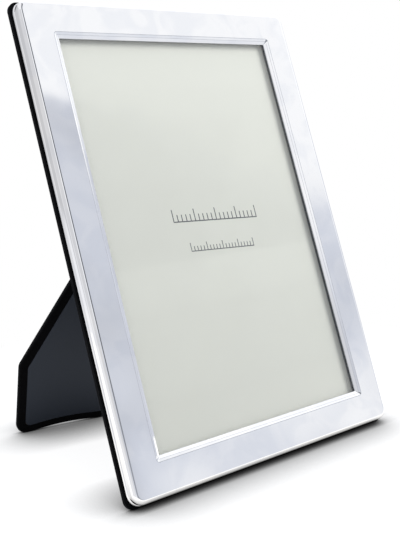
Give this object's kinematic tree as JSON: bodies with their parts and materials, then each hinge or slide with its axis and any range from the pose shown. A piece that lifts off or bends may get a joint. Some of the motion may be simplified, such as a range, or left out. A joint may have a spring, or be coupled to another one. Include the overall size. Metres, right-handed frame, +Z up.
{
  "type": "easel back photo frame",
  "caption": "Tabletop picture frame: polished metal front with a bevelled window, glass, velvet back held by turn buttons, and a slanted, hinged easel strut.",
  "frame": {"origin": "middle of the flat strip on the lower rear edge, on which the frame stands", "axes": "+Z up, +Y towards the back, where the strut's foot stands, +X to the right seen from the front"},
  "size_m": [0.125, 0.1007, 0.1665],
  "materials": {
    "silver_plate": "polished silver plate",
    "core_wood": "plain, unfinished",
    "clear_glass": "clear float glass",
    "paper_slip": "matte, printed",
    "grey_card": "plain grey card",
    "fibreboard": "pressed fibreboard",
    "black_velvet": "short pile",
    "smooth_lining": "smooth, slight sheen",
    "nickel": "nickel plated"
  },
  "bodies": {
    "frame": {"front_moulding": "silver_plate", "core_rail_top": "core_wood", "core_rail_right": "core_wood", "core_rail_bottom": "core_wood", "core_rail_left": "core_wood", "glass_pane": "clear_glass", "photo_slip": "paper_slip", "backing_card": "grey_card", "surround_board": "fibreboard", "surround_velvet": "black_velvet", "door_board": "fibreboard", "door_velvet": "black_velvet", "button_posts": "nickel", "hinge_fixed_leaf": "nickel", "hinge_door_rivets": "nickel", "hinge_pin": "nickel"},
    "strut": {"hinge_moving_leaf": "nickel", "hinge_strut_rivets": "nickel", "strut_board": "fibreboard", "strut_lining": "smooth_lining", "strut_velvet": "black_velvet"},
    "button_upper_left": {"turn_button_upper_left": "nickel"},
    "button_lower_left": {"turn_button_lower_left": "nickel"},
    "button_upper_right": {"turn_button_upper_right": "nickel"},
    "button_lower_right": {"turn_button_lower_right": "nickel"}
  },
  "joints": [
    {"name": "strut_hinge", "type": "hinge", "parent": "frame", "child": "strut", "pos_m": [0.0157, 0.04302, 0.12171], "axis": [-0.9511, 0.0981, 0.293], "range_deg": [0, 36]},
    {"name": "button_upper_left_pivot", "type": "hinge", "parent": "frame", "child": "button_upper_left", "pos_m": [-0.0577, 0.04273, 0.12526], "axis": [0, -0.9483, 0.3173], "range_deg": [-90, 90]},
    {"name": "button_lower_left_pivot", "type": "hinge", "parent": "frame", "child": "button_lower_left", "pos_m": [-0.0577, 0.01419, 0.03996], "axis": [0, -0.9483, 0.3173], "range_deg": [-90, 90]},
    {"name": "button_upper_right_pivot", "type": "hinge", "parent": "frame", "child": "button_upper_right", "pos_m": [0.0577, 0.04273, 0.12526], "axis": [0, -0.9483, 0.3173], "range_deg": [-90, 90]},
    {"name": "button_lower_right_pivot", "type": "hinge", "parent": "frame", "child": "button_lower_right", "pos_m": [0.0577, 0.01419, 0.03996], "axis": [0, -0.9483, 0.3173], "range_deg": [-90, 90]}
  ]
}
